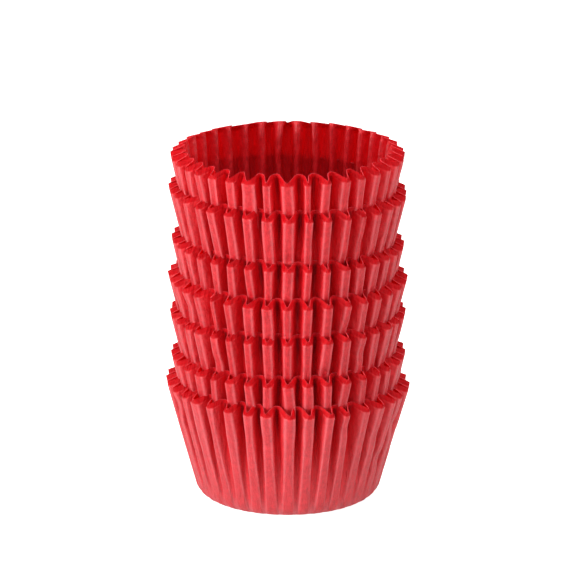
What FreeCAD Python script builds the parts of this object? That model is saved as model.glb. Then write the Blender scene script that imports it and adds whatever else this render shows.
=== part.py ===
import FreeCAD, Part
import math
import os

# A stack of seven pleated paper cupcake liners, each one pressed from a flat paper disc.
# The stack stands on the bottom liner. Z is up, the origin is the centre of its base, and the
# front of the stack faces -Y. All lengths are in millimetres and all angles in degrees.

# The paper, cut as a flat disc before it is pressed
disc_diameter = 129.0
paper_thickness = 0.12

# The pressed liner. Its pleats start at the flat base and deepen up to the rim.
base_diameter = 48.4
pleat_count = 36
pleat_depth = 4.7
ridge_flat_angle = 4.6
groove_flat_angle = 3.2
ridge_corner_radius = 4.8
groove_corner_radius = 3.0

# The rim, measured over its ridges, and how much wider each liner has opened, from the bottom up
rim_diameter = 73.4
rim_spreads = (2.8, 0.0, 0.0, 1.0, -1.2, 0.4, -0.9)

# How deep the ridges of each liner reach into the pleats of the one below, at its rim
grips = (1.5, 1.85, 2.65, 1.45, 1.9, 1.9)

# How far each liner leans over to the right
lean_angles = (0.0, 0.0, 0.0, 0.7, 1.9, 1.9, 0.0)

# What is left between the pleats of two liners where one bears on the other
seat_clearance = 0.2

half_pitch = 180.0 / pleat_count
wall_path = disc_diameter / 2 - base_diameter / 2


class Fold:
    """One line up the wall, from the edge of the flat base round the corner to the rim."""

    def __init__(self, corner_radius, rim_radius):
        self.corner_radius = corner_radius
        self.rim_radius = rim_radius
        self.angle = self.wall_angle()
        straight = wall_path - corner_radius * self.angle
        self.top = corner_radius * (1 - math.cos(self.angle)) + straight * math.sin(self.angle)
        self.run_per_rise = 1 / math.tan(self.angle)

    def wall_angle(self):
        """The angle of the wall to the base, in radians, at which the paper just reaches the rim."""
        low, high = 0.0, math.pi / 2
        for _ in range(60):
            angle = (low + high) / 2
            reach = self.corner_radius * math.sin(angle)
            reach += (wall_path - self.corner_radius * angle) * math.cos(angle)
            if base_diameter / 2 + reach > self.rim_radius:
                low = angle
            else:
                high = angle
        return angle

    def corner_point(self, share, depth):
        """Radius and height at a share of the way round the corner, depth under the outside."""
        angle = share * self.angle
        radius = self.corner_radius - depth
        return (
            base_diameter / 2 + radius * math.sin(angle),
            self.corner_radius - radius * math.cos(angle),
        )

    def rim_point(self, depth):
        """Radius and height at the rim, depth under the outside."""
        return (
            self.rim_radius - depth * math.sin(self.angle),
            self.top + depth * math.cos(self.angle),
        )

    def radius_at(self, height, depth):
        """Radius of the straight wall at a height, depth under the outside."""
        radius, top = self.rim_point(depth)
        return radius - (top - height) * self.run_per_rise


class Liner:
    """One liner: where it stands in the stack, and the two folds that repeat round its wall."""

    def __init__(self, rim_spread, lean_angle):
        rim_radius = (rim_diameter + rim_spread) / 2
        self.ridge = Fold(ridge_corner_radius, rim_radius)
        self.groove = Fold(groove_corner_radius, rim_radius - pleat_depth)
        self.slope = math.tan(math.radians(lean_angle))
        self.floor = 0.0
        self.turn = 0.0

    def point(self, radius, height, azimuth):
        """A corner of the paper in the stack's frame; azimuth 0 is the front."""
        angle = math.radians(azimuth + self.turn - 90)
        x, y = radius * math.cos(angle), radius * math.sin(angle)
        return FreeCAD.Vector(x, y, self.floor + height - self.slope * x)

    def skin(self, depth):
        """The corners of every pleat on one side of the paper, level by level up the wall."""
        middle = (ridge_flat_angle / 2 + half_pitch - groove_flat_angle / 2) / 2
        levels = []
        for pleat in range(pleat_count):
            centre = 2 * half_pitch * pleat
            foot_radius, foot_height = base_diameter / 2, depth
            foot = [self.point(foot_radius, foot_height, centre + half_pitch)]

            ridge, groove = self.ridge.corner_point(0.5, depth), self.groove.corner_point(0.5, depth)
            radius, height = (ridge[0] + groove[0]) / 2, (ridge[1] + groove[1]) / 2
            narrowed = middle - math.degrees(depth / radius)
            bend = [self.point(radius, height, centre + side * narrowed) for side in (-1, 1)]

            wall_foot = self.pleat(
                centre, self.ridge.corner_point(1, depth), self.groove.corner_point(1, depth), depth
            )
            rim = self.pleat(centre, self.ridge.rim_point(depth), self.groove.rim_point(depth), depth)
            levels.append((foot, bend, wall_foot, rim))
        return levels

    def pleat(self, centre, ridge, groove, depth):
        """Four corners across one pleat: both sides of its ridge and of the groove beyond it."""
        ridge_side = ridge_flat_angle / 2 - math.degrees(depth / ridge[0])
        groove_side = half_pitch - groove_flat_angle / 2 - math.degrees(depth / groove[0])
        return [
            self.point(*ridge, centre - ridge_side),
            self.point(*ridge, centre + ridge_side),
            self.point(*groove, centre + groove_side),
            self.point(*groove, centre + 2 * half_pitch - groove_side),
        ]

    def solid(self):
        """The liner as one closed solid of folded paper."""
        outside, inside = self.skin(0.0), self.skin(paper_thickness)
        faces = skin_faces(outside) + skin_faces(inside)
        for pleat in range(pleat_count):
            following = (pleat + 1) % pleat_count
            outer = outside[pleat][3] + outside[following][3][:1]
            inner = inside[pleat][3] + inside[following][3][:1]
            faces += [flat(outer[0], outer[1], inner[1], inner[0])]
            faces += [flat(outer[1], outer[2], inner[1]), flat(outer[2], inner[2], inner[1])]
            faces += [flat(outer[2], outer[3], inner[3], inner[2])]
            faces += [flat(outer[3], outer[4], inner[3]), flat(outer[4], inner[4], inner[3])]
        solid = Part.Solid(Part.Shell(faces))
        if solid.Volume < 0:
            solid.reverse()
        return solid


def flat(*corners):
    """One flat facet of paper between its corners."""
    return Part.Face(Part.makePolygon(list(corners) + [corners[0]]))


def skin_faces(levels):
    """All facets of one side of the paper: the base, the round corner and the pleated wall."""
    faces = [flat(*[foot[0] for foot, _, _, _ in levels])]
    for pleat in range(pleat_count):
        foot, bend, wall_foot, rim = levels[pleat]
        foot_before = levels[pleat - 1][0]
        _, next_bend, next_wall_foot, next_rim = levels[(pleat + 1) % pleat_count]

        # The corner, first from the base to the bend and then on to the foot of the wall
        faces += [flat(foot_before[0], foot[0], bend[1], bend[0])]
        faces += [flat(foot[0], next_bend[0], bend[1])]
        faces += [flat(bend[0], bend[1], wall_foot[1], wall_foot[0])]
        faces += [flat(bend[1], wall_foot[2], wall_foot[1])]
        faces += [flat(bend[1], next_bend[0], wall_foot[3], wall_foot[2])]
        faces += [flat(next_bend[0], next_wall_foot[0], wall_foot[3])]

        # The wall: ridge, flank, groove floor and the flank of the next pleat
        faces += [flat(wall_foot[0], wall_foot[1], rim[1], rim[0])]
        faces += [flat(wall_foot[1], wall_foot[2], rim[1]), flat(wall_foot[2], rim[2], rim[1])]
        faces += [flat(wall_foot[2], wall_foot[3], rim[3], rim[2])]
        faces += [flat(wall_foot[3], next_wall_foot[0], rim[3])]
        faces += [flat(next_wall_foot[0], next_rim[0], rim[3])]
    return faces


def seat(liner, below, grip, direction):
    """Sets a liner into the one below, then turns it until its pleats bear on the ones there."""
    level = below.ridge.top
    reach = below.groove.radius_at(level, paper_thickness) + grip
    own_height = liner.ridge.top - (liner.ridge.rim_radius - reach) / liner.ridge.run_per_rise
    liner.floor = below.floor + level - own_height
    free_angle = min(room(liner, below, level) for level in (below.ridge.top, below.groove.top))
    liner.turn = below.turn + direction * max(free_angle - math.degrees(seat_clearance / reach), 0.0)


def room(liner, below, level):
    """The angle a liner can turn, at a level of the one below, before their flanks meet."""
    own_height = below.floor + level - liner.floor
    ridge, groove = liner.ridge.radius_at(own_height, 0.0), liner.groove.radius_at(own_height, 0.0)
    pocket = below.ridge.radius_at(level, paper_thickness)
    mouth = below.groove.radius_at(level, paper_thickness)
    flank_angle = half_pitch - groove_flat_angle / 2 - ridge_flat_angle / 2
    at_ridge = flank_angle * (pocket - ridge) / (pocket - mouth)
    at_mouth = flank_angle * (mouth - groove) / (ridge - groove)
    return min(at_ridge, at_mouth) - math.degrees(paper_thickness / mouth)


stack = [Liner(spread, lean) for spread, lean in zip(rim_spreads, lean_angles)]
direction = 1
for below, liner, grip in zip(stack, stack[1:], grips):
    seat(liner, below, grip, direction)
    direction = -direction

os.makedirs("parts", exist_ok=True)
for number, liner in enumerate(stack, 1):
    liner.solid().exportStep(f"parts/liner_{number}.step")
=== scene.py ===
import bpy
import math
import random
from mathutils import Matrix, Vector


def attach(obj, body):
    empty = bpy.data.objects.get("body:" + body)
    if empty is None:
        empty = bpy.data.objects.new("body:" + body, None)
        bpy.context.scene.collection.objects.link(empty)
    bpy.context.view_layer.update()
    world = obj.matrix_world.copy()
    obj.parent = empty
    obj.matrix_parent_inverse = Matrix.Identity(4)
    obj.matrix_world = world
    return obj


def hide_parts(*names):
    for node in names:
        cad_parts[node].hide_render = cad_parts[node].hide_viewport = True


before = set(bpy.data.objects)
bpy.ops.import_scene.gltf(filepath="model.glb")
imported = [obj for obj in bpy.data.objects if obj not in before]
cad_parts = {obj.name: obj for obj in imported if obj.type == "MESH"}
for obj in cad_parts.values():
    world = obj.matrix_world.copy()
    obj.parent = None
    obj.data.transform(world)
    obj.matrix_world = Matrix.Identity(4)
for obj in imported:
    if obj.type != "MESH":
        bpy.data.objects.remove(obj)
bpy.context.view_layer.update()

# THE LINERS
# Seven cupcake liners of thin red baking paper, dyed through. Each was a flat round disc that a
# heated fluted die pressed into a cup, so the wall is one row of pleats that start from nothing
# at the flat base and are deepest at the rim. They stand nested, pleat in pleat.
MM = 0.001
PLEATS = 36
PITCH = 2 * math.pi / PLEATS
PAPER = 0.12 * MM
RIM_SLOPE = 0.6
BASE_RADIUS = 24.2 * MM
WALL_PATH = 40.3 * MM
PLEAT_DEPTH = 4.7 * MM
RIDGE_CORNER = 4.8 * MM
GROOVE_CORNER = 3.0 * MM
LINERS = [f"liner_{number}" for number in range(1, 8)]

# Half of one pleat, from the middle of its ridge to the middle of its groove: the angle from the
# middle in degrees, and how far the paper has sunk from ridge (0) to groove floor (1). Low down the
# grooves are narrow creases. Up the wall the ridges are flat bars with steep sides, and at the cut
# rim the paper springs open into a rounder wave.
FOOT_HALF = [
    (0.0, 0.0), (0.9, 0.01), (1.7, 0.04), (2.3, 0.1), (2.8, 0.22),
    (3.15, 0.42), (3.45, 0.64), (3.8, 0.85), (4.3, 0.97), (5.0, 1.0),
]
WALL_HALF = [
    (0.0, 0.0), (0.9, 0.01), (1.6, 0.04), (2.1, 0.09), (2.5, 0.19),
    (2.85, 0.37), (3.15, 0.57), (3.5, 0.79), (4.1, 0.94), (5.0, 1.0),
]
RIM_HALF = [
    (0.0, 0.0), (0.35, 0.05), (0.75, 0.17), (1.15, 0.34), (1.6, 0.54),
    (2.1, 0.73), (2.7, 0.87), (3.4, 0.95), (4.2, 0.99), (5.0, 1.0),
]
HALF_PLEAT = 5.0
BAR_EDGE = 2.3
HALF = len(WALL_HALF) - 1
AROUND = PLEATS * 2 * HALF

# Where the fold changes on its way up, as shares of the way from the base to the rim. The creases
# of the foot turn into bars, and the grooves start shallow and reach their full depth near the rim.
BARS_FROM, BARS_OVER = 0.1, 0.3
FOOT_DEPTH, FULL_DEPTH_AT = 0.35, 0.88

# Just under the cut rim the paper is crimped: the ridges are bent in and the grooves spring out.
CRIMP_SHARE = 0.962
CRIMP_IN = 0.15 * MM
CRIMP_OUT = 0.3 * MM

# How far up the paper each ring of corners lies, as a share of the way from the base to the rim:
# close together round the corner and at the rim, where the paper turns.
CORNER_RINGS = [0.0, 0.02, 0.045, 0.075, 0.11, 0.15]
CORNER_TOP, WALL_TOP, WALL_RINGS = CORNER_RINGS[-1], 0.944, 22
RIM_RINGS = [0.953, CRIMP_SHARE, 0.965, 0.971, 0.978, 0.985, 0.992, 1.0]
RINGS = (
    CORNER_RINGS
    + [CORNER_TOP + (WALL_TOP - CORNER_TOP) * step / WALL_RINGS for step in range(1, WALL_RINGS + 1)]
    + RIM_RINGS
)
BASE_RINGS, BASE_RING_WIDTH = 3, BASE_RADIUS * 0.2
INSIDE_BASE = BASE_RADIUS * 0.999


def deselect():
    """Nothing is selected, so an operator acts only on what is selected after this."""
    bpy.ops.object.select_all(action="DESELECT")


def pressed_blank():
    """The paper before it is pleated: a flat round base with a plain wall drawn up in rings."""
    deselect()
    bpy.ops.mesh.primitive_circle_add(vertices=AROUND, radius=BASE_RADIUS, fill_type="NGON")
    blank = bpy.context.object
    bpy.ops.object.mode_set(mode="EDIT")
    bpy.ops.mesh.select_mode(type="FACE")
    bpy.ops.mesh.select_all(action="SELECT")
    for _ in range(BASE_RINGS):
        bpy.ops.mesh.inset(thickness=BASE_RING_WIDTH)
    bpy.ops.object.mode_set(mode="OBJECT")
    for edge in blank.data.edges:
        ends = [blank.data.vertices[corner].co.length for corner in edge.vertices]
        edge.select = min(ends) > INSIDE_BASE
    for face in blank.data.polygons:
        face.select = False
    for corner in blank.data.vertices:
        corner.select = corner.co.length > INSIDE_BASE
    bpy.ops.object.mode_set(mode="EDIT")
    bpy.ops.mesh.select_mode(type="EDGE")
    for below, share in zip(RINGS, RINGS[1:]):
        bpy.ops.mesh.extrude_region_move(TRANSFORM_OT_translate={"value": (0, 0, share - below)})
    bpy.ops.mesh.select_all(action="SELECT")
    bpy.ops.mesh.normals_make_consistent(inside=False)
    bpy.ops.object.mode_set(mode="OBJECT")
    return blank


class Fold:
    """A line up the paper in section: flat base, round corner, then straight to the rim."""

    def __init__(self, corner_radius, rim_radius, rim_height):
        self.corner_radius = corner_radius
        out, up = rim_radius - BASE_RADIUS, rim_height - corner_radius
        apart = math.hypot(out, up)
        self.end = math.atan2(up, out) - math.acos(corner_radius / apart)
        self.arc = corner_radius * (self.end + math.pi / 2)
        self.straight = math.sqrt(apart**2 - corner_radius**2)
        self.length = self.arc + self.straight

    def at(self, share):
        """Radius and height at a share of the way from the base to the rim."""
        way = share * self.length
        turned = min(way, self.arc) / self.corner_radius - math.pi / 2
        radius = BASE_RADIUS + self.corner_radius * math.cos(turned)
        height = self.corner_radius * (1 + math.sin(turned))
        beyond = max(way - self.arc, 0)
        return radius - beyond * math.sin(self.end), height + beyond * math.cos(self.end)


def stance(node):
    """Where a liner stands, read from its solid: floor, lean, turn, and its two folds. The inside
    of the cut rim stands a little higher than its outside, because the paper slants."""
    corners = [corner.co for corner in bpy.data.objects[node].data.vertices]
    low = [c for c in corners if math.hypot(c.x, c.y) < BASE_RADIUS + PAPER]
    left, right = min(low, key=lambda c: c.x), max(low, key=lambda c: c.x)
    slope = (left.z - right.z) / (right.x - left.x)
    floor = min(c.z + slope * c.x for c in low)
    reach = max(math.hypot(c.x, c.y) for c in corners)
    crest = [c for c in corners if math.hypot(c.x, c.y) > reach - PAPER / 3]
    swing = sum((complex(c.x, c.y) / abs(complex(c.x, c.y))) ** PLEATS for c in crest)
    turn = math.atan2(swing.imag, swing.real) / PLEATS
    ridge_top = max(c.z + slope * c.x for c in crest) - floor
    groove_top = max(c.z + slope * c.x for c in corners) - floor - RIM_SLOPE * PAPER
    ridge = Fold(RIDGE_CORNER, reach, ridge_top)
    groove = Fold(GROOVE_CORNER, reach - PLEAT_DEPTH, groove_top)
    return floor, slope, turn, ridge, groove


chance = random.Random(36)
STANCES = {node: stance(node) for node in LINERS}
RIM_HEIGHTS = [0.0] + [STANCES[node][0] + STANCES[node][3].at(1)[1] for node in LINERS]

# Pleats are never pressed quite even. Nested liners share each bend, so the sideways drift of
# every ridge and groove is drawn at each rim of the stack and runs straight between the rims.
# Angles are in degrees.
DRIFT_SPREAD = 0.58
PAST_RIM = 1.1
RIDGE_DRIFT = [[0.0] * PLEATS] + [
    [math.radians(chance.gauss(0, DRIFT_SPREAD)) for _ in range(PLEATS)] for _ in LINERS
]
GROOVE_DRIFT = [[0.0] * PLEATS] + [
    [math.radians(chance.gauss(0, DRIFT_SPREAD)) for _ in range(PLEATS)] for _ in LINERS
]


def drift(table, pleat, height):
    """The sideways drift of a pleat at a height in the stack."""
    number = 1
    while height > RIM_HEIGHTS[number] and number < len(RIM_HEIGHTS) - 1:
        number += 1
    low, high = RIM_HEIGHTS[number - 1], RIM_HEIGHTS[number]
    share = min(max((height - low) / (high - low), 0), PAST_RIM)
    return table[number - 1][pleat] * (1 - share) + table[number][pleat] * share


# How uneven the pleats of one liner are, in shares, millimetres or degrees: bars that are wide,
# narrow or pinched at one place, crests and floors that lie in or out, dented and crooked bars,
# and an uneven cut. Places and reaches are shares of the way from the base to the rim.
WIDTH_SPREAD = 0.15
EVEN_UP_TO = 0.25
PINCH_PLACES, PINCH_AMOUNTS, PINCH_REACH = (0.5, 0.95), (-0.25, 0.22), 0.12
CREST_SPREAD, FLOOR_SPREAD, SPREAD_GROWTH = 0.16, 0.2, 1.5
DENT_PLACES, DENT_DEPTHS, DENT_REACH = (0.45, 0.9), (0, 0, 0.4, 0.7), 0.07
CROOK_SPREAD = 0.18
CUT_SPREAD, CUT_GROWTH = 0.14, 6
BEND_SPREAD, BEND_LEAST = 0.35, 0.3
RIM_SLANT = {"liner_1": 0.03}
MAP_STEP = 0.38
# From this share of the way up, the painted shade in the grooves is at full strength. Lower down it
# fades.
PAINTED_SHADE_FULL_AT = 0.6


def press(liner, node):
    """Presses the pleats of one liner into a copy of the blank and stands it in its place."""
    floor, slope, turn, ridge, groove = STANCES[node]
    width = [chance.gauss(1, WIDTH_SPREAD) for _ in range(PLEATS)]
    pinch = [(chance.uniform(*PINCH_PLACES), chance.uniform(*PINCH_AMOUNTS)) for _ in range(PLEATS)]
    crest_out = [chance.gauss(0, CREST_SPREAD) * MM for _ in range(PLEATS)]
    floor_in = [chance.gauss(0, FLOOR_SPREAD) * MM for _ in range(PLEATS)]
    dent = [(chance.uniform(*DENT_PLACES), chance.choice(DENT_DEPTHS) * MM) for _ in range(PLEATS)]
    crook = [math.radians(chance.gauss(0, CROOK_SPREAD)) for _ in range(PLEATS)]
    cut = [chance.gauss(0, CUT_SPREAD) * MM for _ in range(2 * PLEATS)]
    bent = [max(chance.gauss(1, BEND_SPREAD), BEND_LEAST) * CRIMP_IN for _ in range(PLEATS)]
    places, base = [], set()
    for corner in liner.data.vertices:
        x, y, share = corner.co
        radius = math.hypot(x, y)
        if share == 0:
            base.add(corner.index)
        if share == 0 and radius < INSIDE_BASE:
            places.append((x, y, floor, x / MM, y / MM, 0.0))
            continue
        step = round(math.atan2(y, x) / (2 * math.pi) * AROUND) % AROUND
        pleat, place = divmod(step + HALF, 2 * HALF)
        pleat, side = pleat % PLEATS, place - HALF
        beside = pleat if side > 0 else (pleat - 1) % PLEATS
        risen = min(max((share - BARS_FROM) / BARS_OVER, 0), 1)
        crimp = max((share - CRIMP_SHARE) / (1 - CRIMP_SHARE), 0)
        foot, wall, wave = FOOT_HALF[abs(side)], WALL_HALF[abs(side)], RIM_HALF[abs(side)]
        offset, sunk = (
            (foot[part] * (1 - risen) + wall[part] * risen) * (1 - crimp) + wave[part] * crimp
            for part in (0, 1)
        )
        sunk *= FOOT_DEPTH + (1 - FOOT_DEPTH) * min(share / FULL_DEPTH_AT, 1)
        out, up = ridge.at(share)
        into, above = groove.at(share)
        high = floor + up * (1 - sunk) + above * sunk
        grown = min(share / EVEN_UP_TO, 1)
        where, amount = pinch[pleat]
        pinched = amount * math.exp(-(((share - where) / PINCH_REACH) ** 2))
        squeeze = 1 + grown * (width[pleat] - 1 + pinched)
        if offset <= BAR_EDGE:
            offset *= squeeze
        else:
            edge = BAR_EDGE * squeeze
            offset = edge + (HALF_PLEAT - edge) * (offset - BAR_EDGE) / (HALF_PLEAT - BAR_EDGE)
        angle = PITCH * pleat + math.radians(math.copysign(offset, side)) + turn
        angle += (1 - sunk) * drift(RIDGE_DRIFT, pleat, high)
        angle += sunk * drift(GROOVE_DRIFT, beside, high)
        angle += crook[pleat] * (1 - sunk) * math.sin(2 * math.pi * share)
        rise = share**SPREAD_GROWTH
        radius = out * (1 - sunk) + into * sunk
        radius += rise * ((1 - sunk) * crest_out[pleat] + sunk * floor_in[beside])
        struck, hollow = dent[pleat]
        radius -= (1 - sunk) * hollow * math.exp(-(((share - struck) / DENT_REACH) ** 2))
        radius = min(radius, out) - crimp * ((1 - sunk) * bent[pleat] - sunk * CRIMP_OUT)
        trim = cut[2 * pleat] * (1 - sunk) + cut[2 * beside + 1] * sunk
        high += share**CUT_GROWTH * min(trim, 0.0)
        x, y = radius * math.cos(angle), radius * math.sin(angle)
        high -= RIM_SLANT.get(node, 0) * x * share**2
        # The map "pleat" carries how far the paper has sunk, faded low down, to place the painted
        # sheen and shade.
        along, painted_shade_depth = share * WALL_PATH / MM, sunk * min(share / PAINTED_SHADE_FULL_AT, 1)
        places.append((x, y, high, step * MAP_STEP, along, painted_shade_depth))
    for corner, (x, y, high, *_) in zip(liner.data.vertices, places):
        corner.co = (x, y, high - slope * x)
    paper_map = liner.data.uv_layers.new(name="paper")
    pleat_map = liner.data.uv_layers.new(name="pleat")
    for face in liner.data.polygons:
        flat = base.issuperset(face.vertices)
        for loop, corner in zip(face.loop_indices, face.vertices):
            x, y, _, around, along, sunk = places[corner]
            paper_map.data[loop].uv = (x / MM, y / MM) if flat else (around, along)
            pleat_map.data[loop].uv = (sunk, along)


def srgb(code):
    """A colour written as a hex value, as the linear numbers that a shader takes."""
    parts = [int(code[at:at + 2], 16) / 255 for at in (1, 3, 5)]
    return [p / 12.92 if p <= 0.04045 else ((p + 0.055) / 1.055) ** 2.4 for p in parts] + [1.0]


def add(tree, kind, settings=None, **links):
    """Adds a node with its settings, and links sockets named with _ for a space."""
    node = tree.nodes.new(kind)
    for name, value in (settings or {}).items():
        if name in node.inputs:
            node.inputs[name].default_value = value
        else:
            setattr(node, name, value)
    for name, socket in links.items():
        tree.links.new(socket, node.inputs[name.replace("_", " ")])
    return node


LIGHT_THROUGH = 0.54
CRIMP_BLEND = 0.4
# Painted light: from the first height down to the second, the paper turns a little paler pink. This
# stands in for light bounced up from the white table.
PAINTED_BOUNCE_FROM, PAINTED_BOUNCE_TO = 44 * MM, 34 * MM


def paper_material(name, painted_sheen_at, deep, gloom, crimp):
    """Greaseproof baking paper, dyed red through and calendered matt. Folds that stand out are
    painted
    a paler pink: a painted sheen. The grooves are full red and get darker towards their floor:
    painted shade. The map "pleat" and the arguments set where each lies and how dark the floor gets.
    The crimped rim band is painted a darker full red, without the sheen: painted shade."""
    material = bpy.data.materials.new(name)
    material.use_nodes = True
    tree = material.node_tree
    tree.nodes.clear()
    place = add(tree, "ShaderNodeTexCoord").outputs["Object"]
    follow = add(tree, "ShaderNodeUVMap", {"uv_map": "paper"}).outputs["UV"]
    stretched = add(tree, "ShaderNodeMapping", {"Scale": (1.0, 0.16, 1.0)}, Vector=follow)
    crinkle = add(tree, "ShaderNodeTexNoise", {"Scale": 0.9, "Detail": 5.0, "Roughness": 0.6},
                  Vector=stretched.outputs["Vector"])
    fibres = add(tree, "ShaderNodeTexNoise", {"Scale": 2600.0, "Detail": 3.0}, Vector=place)
    clouds = add(tree, "ShaderNodeTexNoise", {"Scale": 800.0, "Detail": 6.0, "Roughness": 0.75},
                 Vector=place)
    shade = add(tree, "ShaderNodeValToRGB", Fac=clouds.outputs["Fac"])
    shade.color_ramp.elements[0].position = 0.38
    shade.color_ramp.elements[0].color = srgb("#A61620")
    shade.color_ramp.elements[1].position = 0.62
    shade.color_ramp.elements[1].color = srgb("#D82C36")
    height = add(tree, "ShaderNodeSeparateXYZ", Vector=place).outputs["Z"]
    # Painted light bounced up from the table: the paper is paler pink low down.
    painted_bounce = add(tree, "ShaderNodeMapRange",
               {"From Min": PAINTED_BOUNCE_FROM, "From Max": PAINTED_BOUNCE_TO, "To Max": 0.1}, Value=height)
    bounce_lit = add(tree, "ShaderNodeMixRGB", {"Color2": srgb("#F0949C")},
                Fac=painted_bounce.outputs["Result"], Color1=shade.outputs["Color"])
    along = add(tree, "ShaderNodeSeparateXYZ", Vector=follow).outputs["Y"]
    crimp_start = CRIMP_SHARE * WALL_PATH / MM
    crimped = add(tree, "ShaderNodeMapRange", {
        "From Min": crimp_start, "From Max": crimp_start + CRIMP_BLEND, "To Max": crimp},
        Value=along)
    depth = add(tree, "ShaderNodeSeparateXYZ", Vector=add(
        tree, "ShaderNodeUVMap", {"uv_map": "pleat"}).outputs["UV"]).outputs["X"]
    # Painted sheen and shade: the colour goes from the paler pink of the standing folds to the full
    # red of the grooves.
    painted_shade_share = add(tree, "ShaderNodeMapRange", {"From Min": painted_sheen_at, "From Max": deep},
                    Value=depth)
    # Painted highlight: a pale pink line along the shoulders of the bars, where they turn into the
    # grooves.
    painted_edge_highlight = add(tree, "ShaderNodeValToRGB", Fac=depth)
    stops = painted_edge_highlight.color_ramp.elements
    stops[0].position, stops[0].color = 0.01, (0, 0, 0, 1)
    stops[1].position, stops[1].color = 0.16, (0, 0, 0, 1)
    middle = stops.new(0.05)
    middle.color = (0.3, 0.3, 0.3, 1)
    edge_highlighted = add(tree, "ShaderNodeMixRGB", {"Color2": srgb("#F8A0A6")},
               Fac=painted_edge_highlight.outputs["Color"], Color1=bounce_lit.outputs["Color"])
    full = add(tree, "ShaderNodeMath", {"operation": "MAXIMUM"})
    tree.links.new(crimped.outputs["Result"], full.inputs[0])
    tree.links.new(painted_shade_share.outputs["Result"], full.inputs[1])
    # Painted shade: the grooves darken towards their floor.
    bottom = add(tree, "ShaderNodeMapRange", {
        "From Min": deep, "From Max": 1.0 if deep > painted_sheen_at else 0.0, "To Max": gloom}, Value=depth)
    shaded_red = add(tree, "ShaderNodeMixRGB",
                {"Color1": srgb("#CA141D"), "Color2": srgb("#6E060B")},
                Fac=bottom.outputs["Result"])
    # Painted shade on the crimped rim band: a darker full red, without the sheen.
    rim = add(tree, "ShaderNodeMixRGB", {"Color2": srgb("#BC101A")},
              Fac=crimped.outputs["Result"], Color1=shaded_red.outputs["Color"])
    # The paler pink of the standing folds is painted sheen. The full red of the grooves and the rim
    # is painted shade.
    sheen_and_shade = add(tree, "ShaderNodeMixRGB", Fac=full.outputs["Value"],
                  Color1=edge_highlighted.outputs["Color"], Color2=rim.outputs["Color"])
    dull = add(tree, "ShaderNodeMapRange", {"To Min": 0.3, "To Max": 0.45},
               Value=fibres.outputs["Fac"])
    folds = add(tree, "ShaderNodeBump", {"Strength": 0.8, "Distance": 1.2 * MM},
                Height=crinkle.outputs["Fac"])
    grain = add(tree, "ShaderNodeBump", {"Strength": 0.25, "Distance": 0.04 * MM},
                Height=fibres.outputs["Fac"], Normal=folds.outputs["Normal"])
    burnished = add(tree, "ShaderNodeMapRange", {"To Min": 0.5, "To Max": 0.1},
                    Value=full.outputs["Value"])
    paper = add(tree, "ShaderNodeBsdfPrincipled", {"IOR": 1.5},
                Base_Color=sheen_and_shade.outputs["Color"], Roughness=dull.outputs["Result"],
                Specular_IOR_Level=burnished.outputs["Result"], Normal=grain.outputs["Normal"])
    # Painted shade in the light through the paper: darker towards the groove floor.
    through = add(tree, "ShaderNodeMixRGB", {"Color1": srgb("#F21218"), "Color2": srgb("#A80A10")},
                  Fac=bottom.outputs["Result"])
    # Painted shade on the crimped rim band, also in the light through the paper.
    rim_glow = add(tree, "ShaderNodeMixRGB", {"Color2": srgb("#D40D15")},
                   Fac=crimped.outputs["Result"], Color1=through.outputs["Color"])
    glow = add(tree, "ShaderNodeBsdfTranslucent", Color=rim_glow.outputs["Color"],
               Normal=folds.outputs["Normal"])
    thin = add(tree, "ShaderNodeMixShader", {"Fac": LIGHT_THROUGH})
    tree.links.new(paper.outputs["BSDF"], thin.inputs[1])
    tree.links.new(glow.outputs["BSDF"], thin.inputs[2])
    add(tree, "ShaderNodeOutputMaterial", Surface=thin.outputs["Shader"])
    return material


def cut_edge_material():
    """The same paper where the disc was die cut: the torn fibres scatter more light."""
    material = bpy.data.materials.new("cut_paper_edge")
    material.use_nodes = True
    tree = material.node_tree
    tree.nodes.clear()
    place = add(tree, "ShaderNodeTexCoord").outputs["Object"]
    fibres = add(tree, "ShaderNodeTexNoise", {"Scale": 1500.0, "Detail": 3.0}, Vector=place)
    shade = add(tree, "ShaderNodeValToRGB", Fac=fibres.outputs["Fac"])
    shade.color_ramp.elements[0].color = srgb("#CE2832")
    shade.color_ramp.elements[1].color = srgb("#E44A54")
    paper = add(tree, "ShaderNodeBsdfPrincipled", {"Roughness": 0.8},
                Base_Color=shade.outputs["Color"])
    add(tree, "ShaderNodeOutputMaterial", Surface=paper.outputs["BSDF"])
    return material


# Outside and inside, the painted sheen and shade lie at opposite ends of the pleat map. There is
# less painted shade inside.
OUTER_PAPER = paper_material("red_baking_paper", painted_sheen_at=0.15, deep=0.85, gloom=0.85, crimp=1.0)
INNER_PAPER = paper_material("red_baking_paper_inside", painted_sheen_at=0.9, deep=0.22, gloom=0.5, crimp=0.0)
CUT_EDGE = cut_edge_material()
BLANK = pressed_blank()
SMOOTH_BELOW = math.radians(42)

for node in LINERS:
    liner = BLANK.copy()
    liner.data = BLANK.data.copy()
    liner.name = f"pleated_{node}"
    bpy.context.collection.objects.link(liner)
    press(liner, node)
    for material in (OUTER_PAPER, CUT_EDGE, INNER_PAPER):
        liner.data.materials.append(material)
    deselect()
    liner.select_set(True)
    bpy.context.view_layer.objects.active = liner
    wall = liner.modifiers.new("paper", "SOLIDIFY")
    wall.thickness = PAPER
    wall.offset = -1
    wall.use_even_offset = False
    wall.material_offset_rim = 1
    wall.material_offset = 2
    bpy.ops.object.modifier_apply(modifier="paper")
    bpy.ops.object.shade_smooth_by_angle(angle=SMOOTH_BELOW)
    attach(liner, "root")
    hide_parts(node)
bpy.data.objects.remove(BLANK)

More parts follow.
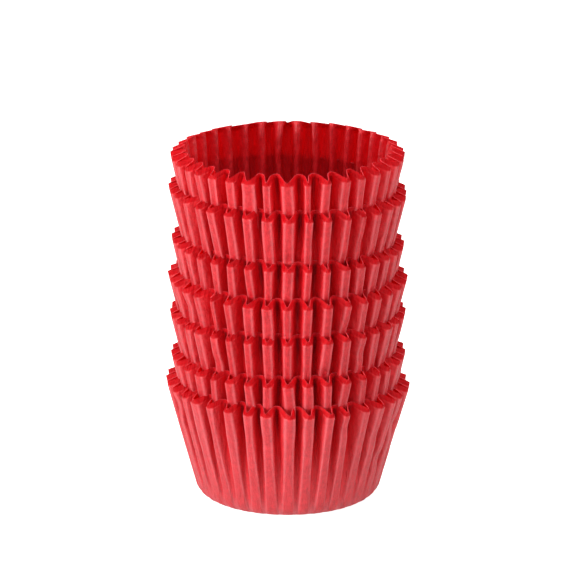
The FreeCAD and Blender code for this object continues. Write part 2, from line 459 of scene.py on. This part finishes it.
# THE TABLE AND THE LIGHT
# A plain white table top in a white studio. Soft light comes from a strong panel at the left, weaker
# ones at the right and low at the front, and a large one above. The surroundings give a little more,
# and only the camera, reflections and clear materials see them and the table as pure white.
TABLE_SIZE = 6.0
LAMP_AIM = Vector((0, 0, 0.06))


def seen_directly(tree):
    """1 where a ray comes from the camera, a reflection or a clear material, and otherwise 0."""
    rays = add(tree, "ShaderNodeLightPath").outputs
    seen = rays["Is Camera Ray"]
    for kind in ("Is Glossy Ray", "Is Transmission Ray"):
        either = add(tree, "ShaderNodeMath", {"operation": "MAXIMUM"})
        tree.links.new(seen, either.inputs[0])
        tree.links.new(rays[kind], either.inputs[1])
        seen = either.outputs["Value"]
    return seen


def backdrop_material():
    """White table paper. It keeps a faint shadow under the stack."""
    material = bpy.data.materials.new("white_table")
    material.use_nodes = True
    tree = material.node_tree
    tree.nodes.clear()
    matt = add(tree, "ShaderNodeBsdfDiffuse", {"Color": srgb("#E6E6E6")})
    level = add(tree, "ShaderNodeMapRange", {"To Max": 0.94}, Value=seen_directly(tree))
    lit = add(tree, "ShaderNodeEmission", {"Color": (1, 1, 1, 1)}, Strength=level.outputs["Result"])
    both = add(tree, "ShaderNodeAddShader")
    tree.links.new(matt.outputs["BSDF"], both.inputs[0])
    tree.links.new(lit.outputs["Emission"], both.inputs[1])
    add(tree, "ShaderNodeOutputMaterial", Surface=both.outputs["Shader"])
    return material


deselect()
bpy.ops.mesh.primitive_plane_add(size=TABLE_SIZE, location=(0, 0, 0))
table = bpy.context.object
table.name = "table"
table.data.materials.append(backdrop_material())

world = bpy.data.worlds.new("studio")
bpy.context.scene.world = world
world.use_nodes = True
world.node_tree.nodes.clear()
strength = add(world.node_tree, "ShaderNodeMapRange", {"To Min": 0.18, "To Max": 1.0},
               Value=seen_directly(world.node_tree))
sky = add(world.node_tree, "ShaderNodeBackground", {"Color": (1, 1, 1, 1)},
          Strength=strength.outputs["Result"])
add(world.node_tree, "ShaderNodeOutputWorld", Surface=sky.outputs["Background"])


def panel(name, place, size, watts):
    """A square light panel aimed at the middle of the stack."""
    deselect()
    bpy.ops.object.light_add(type="AREA", location=place)
    lamp = bpy.context.object
    lamp.name = name
    lamp.data.size = size
    lamp.data.energy = watts
    lamp.rotation_euler = (LAMP_AIM - Vector(place)).to_track_quat("-Z", "Y").to_euler()


panel("front_left_panel", (-0.86, -0.5, 0.2), size=0.3, watts=15.6)
panel("right_panel", (0.86, -0.5, 0.2), size=0.4, watts=6.9)
panel("low_left_panel", (-0.35, -0.6, 0.03), size=0.3, watts=1.6)
panel("top_panel", (0.0, -0.45, 0.95), size=0.8, watts=11.6)

# The camera stands in front and looks a little down. Its lens and sensor are in millimetres.
CAMERA_PLACE = Vector((0.8 * MM, -1560 * MM, 528 * MM))
CAMERA_AIM = Vector((0.8 * MM, 0, 64.8 * MM))
LENS, SENSOR = 326, 36
deselect()
bpy.ops.object.camera_add(location=CAMERA_PLACE)
camera = bpy.context.object
camera.rotation_euler = (CAMERA_AIM - camera.location).to_track_quat("-Z", "Y").to_euler()
camera.data.lens = LENS
camera.data.sensor_width = SENSOR
camera.data.clip_start = 0.01
bpy.context.scene.camera = camera
bpy.context.scene.view_settings.view_transform = "Standard"
